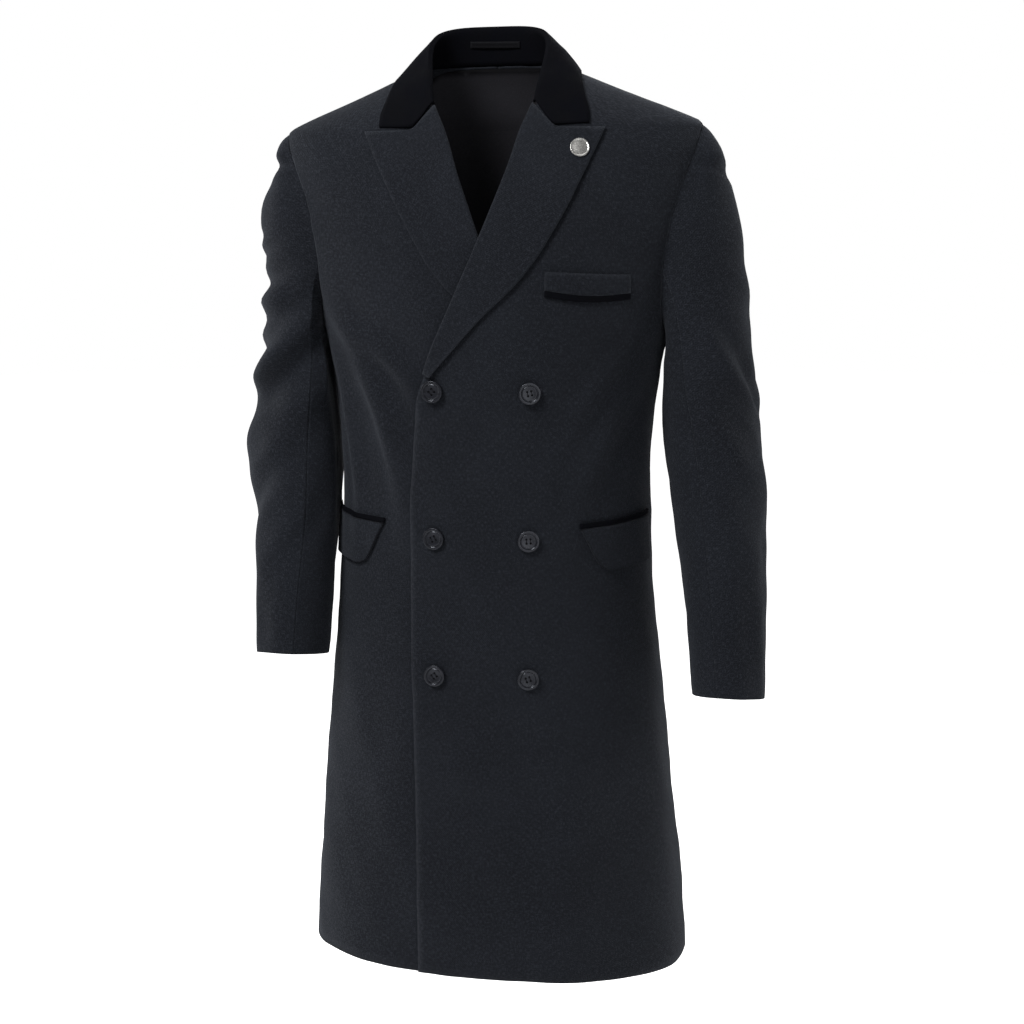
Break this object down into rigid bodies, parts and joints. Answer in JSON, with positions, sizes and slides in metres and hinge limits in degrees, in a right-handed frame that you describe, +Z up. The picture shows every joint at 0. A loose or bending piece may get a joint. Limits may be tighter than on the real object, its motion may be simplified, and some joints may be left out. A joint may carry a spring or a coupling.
{
  "type": "double-breasted overcoat",
  "caption": "Hollow worn form of a double-breasted wool overcoat with peak lapels, velvet collar, chest welt and flap pockets.",
  "frame": {"origin": "on the mid-line between the shoulder lines, at the height where the shoulder seams meet the collar", "axes": "+Z up, -Y the way the wearer faces, +X to the wearer's left"},
  "size_m": [0.57, 0.3303, 1.0273],
  "materials": {
    "wool": "matte melange coating",
    "velvet": "short black pile",
    "lining": "smooth lining",
    "button": "satin dark button",
    "silver": "satin silver"
  },
  "bodies": {
    "root": {"front_left": "wool", "front_right": "wool", "back_left": "wool", "back_right": "wool", "top_sleeve_left": "wool", "top_sleeve_right": "wool", "under_sleeve_left": "wool", "under_sleeve_right": "wool", "lapel_left": "wool", "lapel_right": "wool", "collar": "velvet", "back_lining": "lining", "hanger_loop": "lining", "chest_welt": "wool", "chest_welt_velvet": "velvet", "flap_left": "wool", "flap_right": "wool", "jetting_left": "velvet", "jetting_right": "velvet", "button_1_right": "button", "button_1_left": "button", "button_2_right": "button", "button_2_left": "button", "button_3_right": "button", "button_3_left": "button", "cuff_button_left": "button", "cuff_button_right": "button", "lapel_pin": "silver"}
  },
  "joints": []
}
